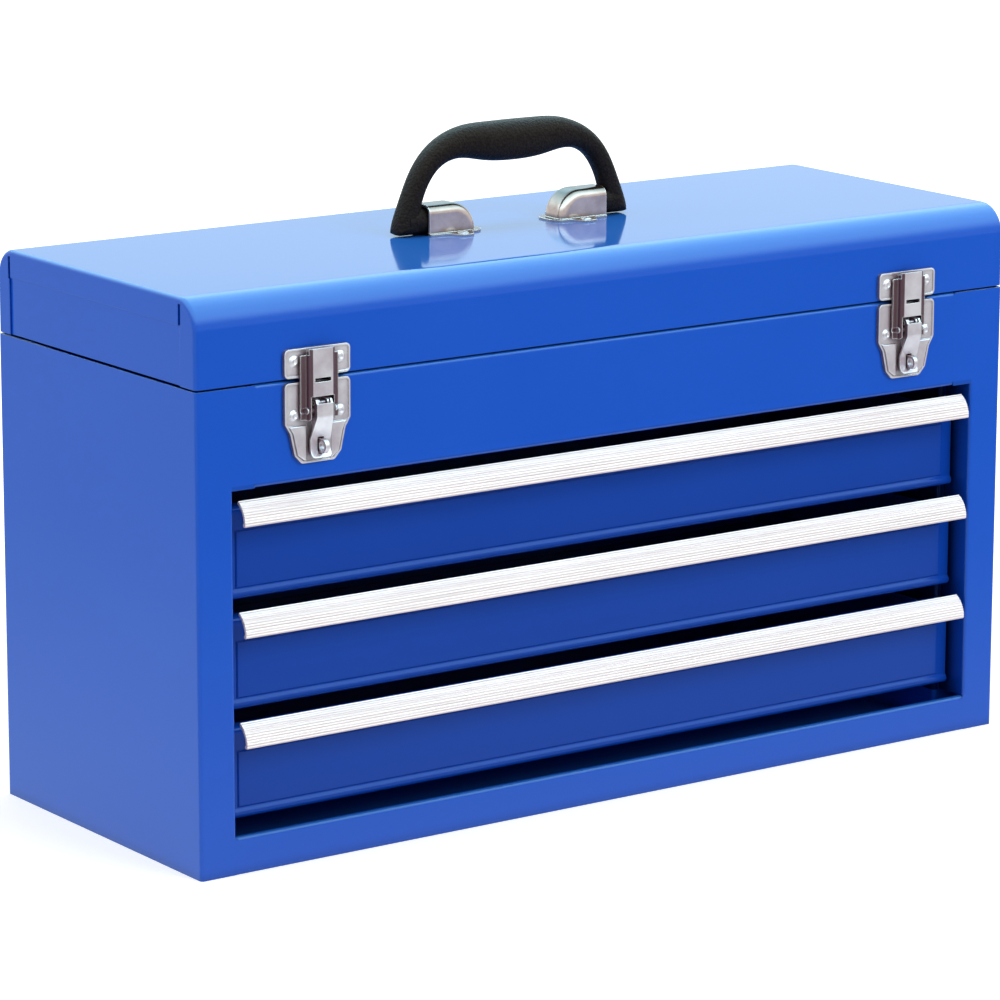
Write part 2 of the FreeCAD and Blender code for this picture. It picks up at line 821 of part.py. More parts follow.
def latch_base():
    proud = plate_metal + keeper_rim
    radii = [plate_corner, plate_corner, plate_corner * 2, plate_corner, plate_corner]
    radii = radii + list(reversed(radii))
    raised = plate_outline(base_points(0), radii, 0, proud)
    inner_radii = [r - rim_width for r in radii]
    field = plate_outline(base_points(rim_width), inner_radii, plate_metal, proud + overrun)
    wing_inset = rim_width + base_wing_rim_gap
    wing_radii = [r - wing_inset for r in radii]
    wing_out = plate_metal + base_wing_rise
    crown = plate_outline(base_points(wing_inset), wing_radii, plate_metal / 2, wing_out)
    wings = []
    for way in (-1, 1):
        reach = latch_box(way * base_wing_inner, way * plate_half_width, 0, wing_out + overrun,
                          -base_bottom, -base_wing_top)
        wing = crown.common(reach)
        rim = [e for e in wing.Edges if abs(e.CenterOfMass.y - outward(wing_out)) < hair]
        wings.append(wing.makeFillet(base_wing_edge, rim))
    ears = []
    for way in (-1, 1):
        x0 = way * base_ear_inner
        x1 = way * (base_ear_inner + base_ear_metal)
        start = min(x0, x1)
        low = lever_pivot_drop + base_ear_radius
        high = lever_pivot_drop - base_ear_radius
        tip = lever_pivot_out + base_ear_radius
        points = [(plate_metal / 2, -low), (tip, -low), (tip, -high), (plate_metal / 2, -high)]
        corner = base_ear_radius * round_share
        face = latch_side_face(points, [0, corner, corner, 0], start)
        ears.append(face.extrude(Vector(base_ear_metal, 0, 0)))
    body = fused([raised.cut(field)] + wings + ears)
    bore = tube_along_x(pivot_pin_radius + pivot_running_gap, -lever_half_width, lever_half_width,
                        outward(lever_pivot_out), height(-lever_pivot_drop))
    return body.cut(bore)


def latch_staple():
    half = staple_hole_radius + staple_wall
    tip = staple_hole_out + half
    points = [(plate_metal, -staple_drop - half), (tip, -staple_drop - half),
              (tip, -staple_drop + half), (plate_metal, -staple_drop + half)]
    corner = half * round_share
    face = latch_side_face(points, [0, corner, corner, 0], -staple_metal / 2)
    body = face.extrude(Vector(staple_metal, 0, 0))
    hole = tube_along_x(staple_hole_radius, -staple_metal, staple_metal,
                        outward(staple_hole_out), height(-staple_drop))
    return body.cut(hole)


# A hat section: a raised web, two legs and a lip turned outwards along each leg
def strap():
    half = strap_half_width
    lip = strap_lip_half_width
    lip_out = strap_back + strap_metal
    line = [(-lip, outward(lip_out)), (-half, outward(lip_out)), (-half, outward(strap_front)),
            (half, outward(strap_front)), (half, outward(lip_out)), (lip, outward(lip_out))]
    leg_half = (strap_front - strap_back) / 2
    low = strap_leg_bottom
    section = sheet_face(line, strap_metal, strap_bend, plan(height(-low)))
    channel = section.extrude(Vector(0, 0, low + strap_top))
    span = 2 * (lip + overrun)
    start = -lip - overrun
    corner = leg_half * round_share
    legs = latch_side_face([(strap_back, -low), (strap_front, -low), (strap_front, strap_leg_top),
                            (strap_back, strap_leg_top)], [corner, corner, 0, corner], start)
    keep = legs.extrude(Vector(span, 0, 0))
    head = latch_box(start, start + span, strap_front - strap_metal, strap_front,
                     -strap_web_bottom, strap_top)
    keep = keep.fuse(head)
    shape = channel.common(keep)
    below_web = latch_box(-half + strap_metal, half - strap_metal, strap_back, strap_front + overrun,
                          -low - overrun, -strap_web_bottom)
    slit = latch_box(-strap_slit_half_width, strap_slit_half_width, strap_back, strap_front + overrun,
                     -strap_slit_height / 2, strap_slit_height / 2)
    bore = tube_along_x(pivot_pin_radius + pivot_running_gap, start, start + span,
                        outward(strap_pivot_out), height(-strap_pivot_drop))
    shape = shape.cut(below_web).cut(slit).cut(bore)
    for x0, x1 in ((start, -half), (half, start + span)):
        shape = shape.cut(tube_along_x(pivot_head_radius + pivot_running_gap, x0, x1,
                                       outward(strap_pivot_out), height(-strap_pivot_drop)))
    return shape


def lever():
    half = lever_half_width
    web_out = lever_pivot_out + lever_web_gap + lever_metal
    flat_out = lever_flat_out + lever_metal / 2
    line = [(web_out, -lever_pivot_drop), (web_out, -lever_knee), (flat_out, -lever_flat_top),
            (flat_out, -lever_flat_end), (lever_tip_out, -lever_tip_drop)]
    place = [(outward(out), height(rise)) for out, rise in line]
    tip_half = lever_tip_half_width
    section = sheet_face(place, lever_metal, lever_bend, side(-tip_half))
    web = section.extrude(Vector(2 * tip_half, 0, 0))
    right = [(tip_half, -lever_tip_drop), (tip_half, -lever_flat_top), (half, -lever_knee), (half, 0)]
    left = [(-u, v) for u, v in reversed(right)]
    radii = [lever_tip_corner, lever_bend, lever_bend, 0]
    outline = rounded_face([(u, height(v)) for u, v in right + left], radii + list(reversed(radii)),
                           elevation(front))
    web = web.common(outline.extrude(Vector(0, outward(2 * web_out) - front, 0)))
    back_out = plate_metal + 2 * clearance
    crest = lever_pivot_drop - lever_leg_radius
    under_web = web_out - lever_metal / 2
    points = [(under_web, -lever_pivot_drop), (lever_pivot_out + lever_leg_radius, -crest),
              (lever_pivot_out - lever_leg_radius, -crest),
              (back_out, -lever_pivot_drop - lever_leg_radius / 2),
              (back_out, -strap_pivot_drop - lever_leg_radius),
              (lever_flat_out + lever_metal, -lever_leg_end), (under_web, -lever_knee)]
    radii = [0] + [lever_metal] * 4 + [0, 0]
    legs = []
    for start in (-half, half - lever_metal):
        face = latch_side_face(points, radii, start)
        legs.append(face.extrude(Vector(lever_metal, 0, 0)))
    slot_half = staple_hole_radius + staple_wall + lever_slot_gap
    slot = latch_box(-staple_metal / 2 - lever_slot_gap, staple_metal / 2 + lever_slot_gap,
                     0, web_out, -staple_drop - slot_half, -staple_drop + slot_half)
    body = fused([web] + legs).cut(slot)
    fixed_bore = tube_along_x(pivot_pin_radius + pivot_running_gap, -half, half,
                              outward(lever_pivot_out), height(-lever_pivot_drop))
    strap_bore = tube_along_x(pivot_pin_radius, -half, half, outward(strap_pivot_out),
                              height(-strap_pivot_drop))
    return body.cut(fixed_bore).cut(strap_bore)


def lever_pin():
    return tube_along_x(pivot_pin_radius, -lever_half_width, lever_half_width,
                        outward(lever_pivot_out), height(-lever_pivot_drop))


def strap_pins():
    pins = []
    start = lever_half_width - lever_metal
    end = strap_half_width + clearance / 2
    for way in (-1, 1):
        x0, x1 = sorted((way * start, way * end))
        h0, h1 = sorted((way * end, way * (end + pivot_head_height)))
        out = outward(strap_pivot_out)
        z = height(-strap_pivot_drop)
        pins.append(fused([tube_along_x(pivot_pin_radius, x0, x1, out, z),
                           tube_along_x(pivot_head_radius, h0, h1, out, z)]))
    return group(pins)


def latch_rivets(rise, backing):
    pieces = []
    for way in (-1, 1):
        piece = rivet(plate_metal + backing)
        piece.rotate(Vector(0, 0, 0), Vector(1, 0, 0), 90)
        piece.translate(Vector(way * latch_rivet_reach, outward(plate_metal), height(rise)))
        pieces.append(piece)
    return pieces


def set_back(shape):
    copy = shape.copy()
    copy.translate(Vector(0, handle_set_back, 0))
    return copy


def moved(shape, x):
    copy = shape.copy()
    copy.translate(Vector(x, 0, 0))
    return copy


def rivet_holes(rise):
    holes = []
    for place in (-latch_place, latch_place):
        for way in (-1, 1):
            start = Vector(place + way * latch_rivet_reach, front - overrun, height(rise))
            holes.append(Part.makeCylinder(rivet_shank_radius, 3 * overrun, start, Vector(0, 1, 0)))
    return Part.makeCompound(holes)


def cup_rivet_places():
    middle = (cup_outer_end + cup_inner_end) / 2 - cup_flange_margin
    places = []
    for way in (-1, 1):
        for reach in (-cup_rivet_reach, cup_rivet_reach):
            places.append((way * middle, handle_set_back + reach))
    return places


def cup_holes():
    holes = []
    for x, y in cup_rivet_places():
        start = Vector(x, y, lid_top - overrun)
        holes.append(Part.makeCylinder(rivet_shank_radius, 3 * overrun, start, Vector(0, 0, 1)))
    return Part.makeCompound(holes)


def build_case():
    panel = side_panel()
    save(panel, "side_panel_left")
    save(mirrored(panel), "side_panel_right")
    save(back_panel(), "back_panel")
    save(floor_tray(0, floor_upstand, back - 2 * sheet), "bottom_panel")
    save(floor_tray(opening_top + sheet, floor_upstand, back - 2 * sheet), "tray_floor")
    save(upper_front_panel().cut(rivet_holes(-base_rivet_drop)), "upper_front_panel")
    save(lower_front_rail(), "lower_front_rail")
    wall = slide_wall()
    save(wall, "slide_wall_left")
    save(mirrored(wall), "slide_wall_right")
    rails = group([case_rail(index) for index in range(drawer_count)])
    save(rails, "case_rails_left")
    save(mirrored(rails), "case_rails_right")


def build_drawers():
    for index in range(drawer_count):
        name = drawer_names[index]
        save(drawer_pan(index), "drawer_" + name + "_pan")
        save(drawer_front(index), "drawer_" + name + "_front")
        save(drawer_pull(index), "drawer_" + name + "_pull")
        rail = drawer_rail(index)
        save(rail, "drawer_" + name + "_rail_left")
        save(mirrored(rail), "drawer_" + name + "_rail_right")


def build_lid():
    skin = lid_skin().cut(rivet_holes(keeper_rivet_height)).cut(cup_holes())
    save(skin, "lid_skin")
    end = lid_end()
    save(end, "lid_end_left")
    save(mirrored(end), "lid_end_right")
    save(hinge_leaf_shape(1, range(1, hinge_knuckles, 2)), "hinge_lid_leaf")
    save(hinge_leaf_shape(-1, range(0, hinge_knuckles, 2)), "hinge_case_leaf")
    save(hinge_pin(), "hinge_pin")
    cup = set_back(handle_cup()).cut(cup_holes())
    save(cup, "handle_cup_left")
    save(mirrored(cup), "handle_cup_right")
    pieces = []
    for x, y in cup_rivet_places():
        piece = rivet(cup_flange_metal + sheet)
        piece.translate(Vector(x, y, lid_top + cup_flange_metal))
        pieces.append(piece)
    save(group(pieces), "handle_cup_rivets")
    save(set_back(handle_grip()), "handle_grip")


def build_latches():
    lid_rivets = []
    case_rivets = []
    for name, place in (("left", -latch_place), ("right", latch_place)):
        save(moved(keeper(), place).cut(rivet_holes(keeper_rivet_height)), "latch_keeper_" + name)
        save(moved(latch_base(), place).cut(rivet_holes(-base_rivet_drop)), "latch_base_" + name)
        save(moved(latch_staple(), place), "latch_staple_" + name)
        save(moved(lever_pin(), place), "latch_lever_pin_" + name)
        save(moved(lever(), place), "latch_lever_" + name)
        save(moved(strap(), place), "latch_strap_" + name)
        save(moved(strap_pins(), place), "latch_strap_pins_" + name)
        lid_rivets += [moved(piece, place) for piece in latch_rivets(keeper_rivet_height, sheet)]
        case_rivets += [moved(piece, place) for piece in latch_rivets(-base_rivet_drop, sheet)]
    save(group(lid_rivets), "latch_keeper_rivets")
    save(group(case_rivets), "latch_base_rivets")


build_case()
build_drawers()
build_lid()
build_latches()
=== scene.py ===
import json
import math

import bpy
from mathutils import Matrix, Vector

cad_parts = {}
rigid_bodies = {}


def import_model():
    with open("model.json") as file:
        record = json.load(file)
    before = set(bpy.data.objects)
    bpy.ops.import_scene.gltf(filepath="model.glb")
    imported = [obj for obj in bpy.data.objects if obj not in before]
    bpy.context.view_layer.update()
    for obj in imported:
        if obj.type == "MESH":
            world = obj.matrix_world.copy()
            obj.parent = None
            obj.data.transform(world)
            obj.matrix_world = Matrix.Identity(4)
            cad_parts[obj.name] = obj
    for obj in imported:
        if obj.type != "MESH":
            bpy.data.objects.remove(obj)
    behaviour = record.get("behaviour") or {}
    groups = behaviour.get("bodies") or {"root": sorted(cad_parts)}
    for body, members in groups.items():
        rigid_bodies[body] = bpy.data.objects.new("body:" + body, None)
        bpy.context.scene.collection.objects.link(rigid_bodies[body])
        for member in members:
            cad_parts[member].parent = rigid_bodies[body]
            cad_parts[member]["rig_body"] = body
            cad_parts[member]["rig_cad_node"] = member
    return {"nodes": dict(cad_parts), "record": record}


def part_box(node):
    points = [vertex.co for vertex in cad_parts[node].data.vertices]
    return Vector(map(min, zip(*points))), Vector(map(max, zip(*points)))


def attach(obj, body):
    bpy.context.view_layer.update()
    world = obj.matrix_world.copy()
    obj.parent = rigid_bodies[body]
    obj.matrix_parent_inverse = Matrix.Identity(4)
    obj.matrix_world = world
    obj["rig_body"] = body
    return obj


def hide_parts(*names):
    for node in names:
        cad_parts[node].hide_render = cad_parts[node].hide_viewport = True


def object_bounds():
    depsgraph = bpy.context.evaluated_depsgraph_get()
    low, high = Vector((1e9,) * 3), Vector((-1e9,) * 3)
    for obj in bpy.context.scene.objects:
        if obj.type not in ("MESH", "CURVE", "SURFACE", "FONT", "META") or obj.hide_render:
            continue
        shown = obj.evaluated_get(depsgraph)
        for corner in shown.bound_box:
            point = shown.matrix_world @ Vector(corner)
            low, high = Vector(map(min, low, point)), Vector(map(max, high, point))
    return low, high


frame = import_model()
cadLow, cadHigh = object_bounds()
millimetre = 0.001
print("frame loaded")


# camera, solved from the case's edges in the photograph
cameraSetup = {
    "azimuth": -35.411,
    "elevation": 12.692,
    "roll": 0.129,
    "distance": 2.494607,
    "target": (-0.008844, 0.0, 0.142442),
    "focalPixels": 4725.9,
    "imagePixels": 1000,
    "sensor": 36.0,
}


def makeCamera(setup):
    turn = math.radians(setup["azimuth"])
    rise = math.radians(setup["elevation"])
    roll = math.radians(setup["roll"])
    backward = Vector((math.sin(turn) * math.cos(rise), -math.cos(turn) * math.cos(rise), math.sin(rise)))
    level = Vector((math.cos(turn), math.sin(turn), 0))
    upward = backward.cross(level)
    right = level * math.cos(roll) + upward * math.sin(roll)
    top = upward * math.cos(roll) - level * math.sin(roll)
    data = bpy.data.cameras.new("photoCamera")
    data.sensor_width = setup["sensor"]
    data.lens = setup["focalPixels"] / setup["imagePixels"] * setup["sensor"]
    data.clip_end = 50
    camera = bpy.data.objects.new("photoCamera", data)
    bpy.context.scene.collection.objects.link(camera)
    place = Vector(setup["target"]) + backward * setup["distance"]
    turned = Matrix((right, top, backward)).transposed().to_4x4()
    camera.matrix_world = Matrix.Translation(place) @ turned
    bpy.context.scene.camera = camera


makeCamera(cameraSetup)
bpy.context.scene.view_settings.view_transform = "Standard"
print("camera placed")


# small helpers for materials
def newMaterial(name):
    material = bpy.data.materials.new(name)
    material.use_nodes = True
    material.node_tree.nodes.clear()
    return material


def addNode(tree, kind, **values):
    node = tree.nodes.new(kind)
    for key, value in values.items():
        setattr(node, key, value)
    return node


def setInputs(node, **values):
    for key, value in values.items():
        node.inputs[key.replace("_", " ")].default_value = value
    return node


def addRange(tree, **values):
    return setInputs(tree.nodes.new("ShaderNodeMapRange"), **values)


# a group with plain number sockets; it comes with its two end nodes
def newGroup(name, inputs, outputs):
    group = bpy.data.node_groups.new(name, "ShaderNodeTree")
    for label, value in inputs.items():
        socket = group.interface.new_socket(name=label, in_out="INPUT", socket_type="NodeSocketFloat")
        socket.default_value = value
    for label in outputs:
        group.interface.new_socket(name=label, in_out="OUTPUT", socket_type="NodeSocketFloat")
    return group, group.nodes.new("NodeGroupInput"), group.nodes.new("NodeGroupOutput")


def placeGroup(tree, group, **values):
    return setInputs(addNode(tree, "ShaderNodeGroup", node_tree=group), **values)


def toLinear(red, green, blue):
    def one(value):
        value /= 255
        return value / 12.92 if value <= 0.04045 else ((value + 0.055) / 1.055) ** 2.4
    return (one(red), one(green), one(blue), 1.0)


def addRamp(tree, dark, pale, start, end):
    ramp = tree.nodes.new("ShaderNodeValToRGB")
    for stop, colour, place in zip(ramp.color_ramp.elements, (dark, pale), (start, end)):
        stop.color = toLinear(*colour)
        stop.position = place
    return ramp


shadeSamples = 4  # rays of each bevel and occlusion node


# fine unevenness that every sprayed or pressed surface here has
skinNoises = {"peel": {"Detail": 2.0, "Roughness": 0.45}, "smudge": {"Detail": 5.0, "Roughness": 0.6},
              "smudgeLow": 0.35, "smudgeHigh": 0.65}


def makeSkinGroup(setup):
    group, enter, leave = newGroup(
        "surfaceSkin", {"Peel Scale": 260.0, "Smudge Scale": 9.0, "Rough Low": 0.1, "Rough High": 0.2},
        ("Height", "Roughness", "Cloud"))
    coordinate = group.nodes.new("ShaderNodeTexCoord")
    peel = setInputs(group.nodes.new("ShaderNodeTexNoise"), **setup["peel"])
    smudge = setInputs(group.nodes.new("ShaderNodeTexNoise"), **setup["smudge"])
    spread = addRange(group, From_Min=setup["smudgeLow"], From_Max=setup["smudgeHigh"])
    for noise in (peel, smudge):
        group.links.new(coordinate.outputs["Object"], noise.inputs["Vector"])
    group.links.new(enter.outputs["Peel Scale"], peel.inputs["Scale"])
    group.links.new(enter.outputs["Smudge Scale"], smudge.inputs["Scale"])
    group.links.new(smudge.outputs["Fac"], spread.inputs["Value"])
    group.links.new(enter.outputs["Rough Low"], spread.inputs["To Min"])
    group.links.new(enter.outputs["Rough High"], spread.inputs["To Max"])
    group.links.new(peel.outputs["Fac"], leave.inputs["Height"])
    group.links.new(spread.outputs["Result"], leave.inputs["Roughness"])
    group.links.new(smudge.outputs["Fac"], leave.inputs["Cloud"])
    return group


# 0 deep in a nook, 1 out in the open: the mask for painted shade in nooks
def makeNookGroup():
    group, enter, leave = newGroup("nookShade", {"Reach": 0.005, "Low": 0.3, "High": 0.9}, ("Openness",))
    occlusion = addNode(group, "ShaderNodeAmbientOcclusion", samples=shadeSamples)
    spread = addRange(group)
    group.links.new(enter.outputs["Reach"], occlusion.inputs["Distance"])
    group.links.new(occlusion.outputs["AO"], spread.inputs["Value"])
    group.links.new(enter.outputs["Low"], spread.inputs["From Min"])
    group.links.new(enter.outputs["High"], spread.inputs["From Max"])
    group.links.new(spread.outputs["Result"], leave.inputs["Openness"])
    return group


# 1 along an edge, where the rounded normal leaves the face's own; it masks a painted highlight
# along the edges: the two numbers are the cosines at which the highlight starts and is full
edgeHighlightSetup = {"start": 0.99, "full": 0.8}


def makeEdgeHighlightGroup(setup):
    group, enter, leave = newGroup("edgeHighlight", {"Radius": 0.0008}, ("Mask",))
    rounding = addNode(group, "ShaderNodeBevel", samples=shadeSamples)
    geometry = group.nodes.new("ShaderNodeNewGeometry")
    same = addNode(group, "ShaderNodeVectorMath", operation="DOT_PRODUCT")
    mask = addRange(group, From_Min=setup["start"], From_Max=setup["full"])
    group.links.new(enter.outputs["Radius"], rounding.inputs["Radius"])
    group.links.new(rounding.outputs["Normal"], same.inputs[0])
    group.links.new(geometry.outputs["Normal"], same.inputs[1])
    group.links.new(same.outputs["Value"], mask.inputs["Value"])
    group.links.new(mask.outputs["Result"], leave.inputs["Mask"])
    return group


skinGroup = makeSkinGroup(skinNoises)
nookGroup = makeNookGroup()
edgeHighlightGroup = makeEdgeHighlightGroup(edgeHighlightSetup)


def addSkin(tree, setup):
    return placeGroup(tree, skinGroup, Peel_Scale=setup["peelScale"], Smudge_Scale=setup["smudgeScale"],
                      Rough_Low=setup["roughLow"], Rough_High=setup["roughHigh"])


def addNook(tree, setup):
    return placeGroup(tree, nookGroup, Reach=setup["nookReach"] * millimetre, Low=setup["nookLow"],
                      High=setup["nookHigh"])


def finishMaterial(tree, shader):
    output = tree.nodes.new("ShaderNodeOutputMaterial")
    tree.links.new(shader.outputs["BSDF"], output.inputs["Surface"])


# bumps on a normal that is rounded over at the piece's edges
def bumpInto(tree, shader, height, setup):
    rounding = addNode(tree, "ShaderNodeBevel", samples=shadeSamples)
    setInputs(rounding, Radius=setup["edge"] * millimetre)
    bump = setInputs(tree.nodes.new("ShaderNodeBump"), Strength=setup["bump"],
                     Distance=setup["bumpDepth"] * millimetre)
    tree.links.new(rounding.outputs["Normal"], bump.inputs["Normal"])
    tree.links.new(height, bump.inputs["Height"])
    tree.links.new(bump.outputs["Normal"], shader.inputs["Normal"])


# inside the drawer opening the paint falls into shadow, deeper towards the back
openingSetup = {"halfWidth": 235.2, "bottom": 17.5, "top": 195.6, "edge": 0.5, "front": -95.0, "back": -81.0,
                "rear": 90.0, "frontTone": 0.8, "backTone": 0.16}


def makeOpeningGroup(setup):
    group, enter, leave = newGroup("openingShade", {}, ("Tone",))
    coordinate = group.nodes.new("ShaderNodeTexCoord")
    split = group.nodes.new("ShaderNodeSeparateXYZ")
    side = addNode(group, "ShaderNodeMath", operation="ABSOLUTE")
    group.links.new(coordinate.outputs["Object"], split.inputs["Vector"])
    group.links.new(split.outputs["X"], side.inputs[0])
    spans = ((side.outputs["Value"], "halfWidth", -1), (split.outputs["Z"], "bottom", 1),
             (split.outputs["Z"], "top", -1), (split.outputs["Y"], "rear", -1))
    inside = None
    for socket, limit, way in spans:
        step = addRange(group, From_Min=setup[limit] * millimetre,
                        From_Max=(setup[limit] + way * setup["edge"]) * millimetre)
        group.links.new(socket, step.inputs["Value"])
        if inside is None:
            inside = step.outputs["Result"]
            continue
        both = addNode(group, "ShaderNodeMath", operation="MULTIPLY")
        group.links.new(inside, both.inputs[0])
        group.links.new(step.outputs["Result"], both.inputs[1])
        inside = both.outputs["Value"]
    deep = addRange(group, From_Min=setup["front"] * millimetre, From_Max=setup["back"] * millimetre,
                    To_Min=setup["frontTone"], To_Max=setup["backTone"])
    tone = addRange(group, To_Min=1.0)
    group.links.new(split.outputs["Y"], deep.inputs["Value"])
    group.links.new(inside, tone.inputs["Value"])
    group.links.new(deep.outputs["Result"], tone.inputs["To Max"])
    group.links.new(tone.outputs["Result"], leave.inputs["Tone"])
    return group


openingGroup = makeOpeningGroup(openingSetup)


# gloss paint: orange peel, slight clouding of the colour, a painted highlight that makes it paler
# where it faces up, and painted shade that makes it darker in nooks and, on the case, inside the drawer opening
casePaintSetup = {
    "deep": (12, 82, 200), "light": (20, 89, 208), "ior": 1.42, "roughLow": 0.06, "roughHigh": 0.1,
    "peelScale": 260.0, "smudgeScale": 7.0, "bump": 0.02, "bumpDepth": 0.2, "edge": 0.5,
    "nookReach": 12.0, "nookLow": 0.15, "nookHigh": 0.55, "nookTone": 0.1,
    "upward": (42, 116, 214), "upwardFrom": 0.2, "upwardTo": 0.95, "opening": True,
}
drawerPaintSetup = {
    "deep": (10, 64, 166), "light": (15, 69, 173), "ior": 1.3, "roughLow": 0.14, "roughHigh": 0.2,
    "peelScale": 260.0, "smudgeScale": 7.0, "bump": 0.03, "bumpDepth": 0.2, "edge": 0.5,
    "nookReach": 10.0, "nookLow": 0.15, "nookHigh": 0.5, "nookTone": 0.3,
    "upward": (16, 72, 176), "upwardFrom": 0.2, "upwardTo": 0.95, "opening": False,
}


def makePaint(name, setup):
    material = newMaterial(name)
    tree = material.node_tree
    shader = setInputs(tree.nodes.new("ShaderNodeBsdfPrincipled"), IOR=setup["ior"])
    skin = addSkin(tree, setup)
    blend = addNode(tree, "ShaderNodeMix", data_type="RGBA")
    blend.inputs["A"].default_value = toLinear(*setup["deep"])
    blend.inputs["B"].default_value = toLinear(*setup["light"])
    nook = addNook(tree, setup)
    depth = addRange(tree, To_Min=setup["nookTone"], To_Max=1.0)
    shade = addNode(tree, "ShaderNodeVectorMath", operation="SCALE")
    geometry = tree.nodes.new("ShaderNodeNewGeometry")
    split = tree.nodes.new("ShaderNodeSeparateXYZ")
    # painted highlight: paler colour where the surface faces up
    upward = addRange(tree, From_Min=setup["upwardFrom"], From_Max=setup["upwardTo"])
    topped = addNode(tree, "ShaderNodeMix", data_type="RGBA")
    topped.inputs["B"].default_value = toLinear(*setup["upward"])
    tree.links.new(skin.outputs["Cloud"], blend.inputs["Factor"])
    tree.links.new(geometry.outputs["Normal"], split.inputs["Vector"])
    tree.links.new(split.outputs["Z"], upward.inputs["Value"])
    tree.links.new(upward.outputs["Result"], topped.inputs["Factor"])
    tree.links.new(blend.outputs["Result"], topped.inputs["A"])
    tree.links.new(nook.outputs["Openness"], depth.inputs["Value"])
    if setup["opening"]:
        opening = placeGroup(tree, openingGroup)
        tree.links.new(opening.outputs["Tone"], depth.inputs["To Max"])
    tree.links.new(topped.outputs["Result"], shade.inputs["Vector"])
    tree.links.new(depth.outputs["Result"], shade.inputs["Scale"])
    tree.links.new(shade.outputs["Vector"], shader.inputs["Base Color"])
    tree.links.new(skin.outputs["Roughness"], shader.inputs["Roughness"])
    bumpInto(tree, shader, skin.outputs["Height"], setup)
    finishMaterial(tree, shader)
    return material


casePaint = makePaint("caseBluePaint", casePaintSetup)
drawerPaint = makePaint("drawerBluePaint", drawerPaintSetup)


# drawn and anodised aluminium: long fine grain along the extrusion
aluminiumSetup = {
    "dark": (223, 203, 199), "pale": (254, 233, 228), "darkAt": 0.25, "paleAt": 0.7, "metal": 0.35,
    "grainAlong": 14.0, "grainAcross": 1500.0, "grainDetail": 4.0, "grainRoughness": 0.6,
    "roughLow": 0.34, "roughHigh": 0.5,
    "bump": 0.12, "bumpDepth": 0.1, "edge": 0.2,
}


def makeAluminium(setup):
    material = newMaterial("satinAluminium")
    tree = material.node_tree
    shader = setInputs(tree.nodes.new("ShaderNodeBsdfPrincipled"), Metallic=setup["metal"])
    coordinate = tree.nodes.new("ShaderNodeTexCoord")
    mapping = tree.nodes.new("ShaderNodeMapping")
    mapping.inputs["Scale"].default_value = (setup["grainAlong"], setup["grainAcross"], setup["grainAcross"])
    grain = setInputs(tree.nodes.new("ShaderNodeTexNoise"), Scale=1.0, Detail=setup["grainDetail"],
                      Roughness=setup["grainRoughness"])
    tone = addRamp(tree, setup["dark"], setup["pale"], setup["darkAt"], setup["paleAt"])
    rough = addRange(tree, To_Min=setup["roughLow"], To_Max=setup["roughHigh"])
    tree.links.new(coordinate.outputs["Object"], mapping.inputs["Vector"])
    tree.links.new(mapping.outputs["Vector"], grain.inputs["Vector"])
    tree.links.new(grain.outputs["Fac"], tone.inputs["Fac"])
    tree.links.new(grain.outputs["Fac"], rough.inputs["Value"])
    tree.links.new(tone.outputs["Color"], shader.inputs["Base Color"])
    tree.links.new(rough.outputs["Result"], shader.inputs["Roughness"])
    bumpInto(tree, shader, grain.outputs["Fac"], setup)
    finishMaterial(tree, shader)
    return material


# plated steel, with painted shade (darker, browner) in its nooks and a painted highlight (paler) along its rims.
# metal says how much of it is mirror; topTone paints shade on what faces up and wall on what faces sideways
platedShared = {
    "peelScale": 260.0, "smudgeScale": 60.0, "darkAt": 0.35, "paleAt": 0.65, "topFrom": 0.3, "topTo": 0.85,
    "nookLow": 0.3, "nookHigh": 0.9, "wallFrom": 0.45, "wallTo": 0.85, "rimRadius": 0.8,
    "bumpDepth": 0.2, "edge": 0.35,
}
nickelSetup = dict(
    platedShared, deep=(222, 208, 216), light=(252, 244, 248), nook=(92, 50, 66), rim=(255, 252, 250),
    metal=0.5, roughLow=0.12, roughHigh=0.24, bump=0.12, topTone=0.55, nookReach=4.5, wall=0.75)
chromeSetup = dict(
    platedShared, deep=(190, 160, 146), light=(234, 204, 188), nook=(60, 56, 56), rim=(255, 250, 245),
    metal=0.62, roughLow=0.06, roughHigh=0.14, bump=0.03, topTone=0.1, nookReach=3.0, wall=0.0)
zincSetup = dict(
    platedShared, deep=(140, 143, 148), light=(176, 178, 180), nook=(90, 92, 96), rim=(196, 198, 200),
    metal=1.0, roughLow=0.28, roughHigh=0.42, bump=0.12, topTone=1.0, nookReach=5.0, wall=0.0)
# the strap: stronger painted shade in its nooks and on its sides, and painted shade on its lips
strapSetup = dict(nickelSetup, nook=(84, 36, 48), wall=0.95,
                  lip={"centre": 186.6, "web": 5.6, "edge": 0.4, "tone": 0.1})


# 1 on the strap's middle web, less on its lips, which get painted shade
def addLipMask(tree, lip):
    coordinate = tree.nodes.new("ShaderNodeTexCoord")
    split = tree.nodes.new("ShaderNodeSeparateXYZ")
    side = addNode(tree, "ShaderNodeMath", operation="ABSOLUTE")
    offset = addNode(tree, "ShaderNodeMath", operation="SUBTRACT")
    offset.inputs[1].default_value = lip["centre"] * millimetre
    reach = addNode(tree, "ShaderNodeMath", operation="ABSOLUTE")
    mask = addRange(tree, From_Min=lip["web"] * millimetre, From_Max=(lip["web"] + lip["edge"]) * millimetre,
                    To_Min=1.0, To_Max=lip["tone"])
    tree.links.new(coordinate.outputs["Object"], split.inputs["Vector"])
    tree.links.new(split.outputs["X"], side.inputs[0])
    tree.links.new(side.outputs["Value"], offset.inputs[0])
    tree.links.new(offset.outputs["Value"], reach.inputs[0])
    tree.links.new(reach.outputs["Value"], mask.inputs["Value"])
    return mask.outputs["Result"]


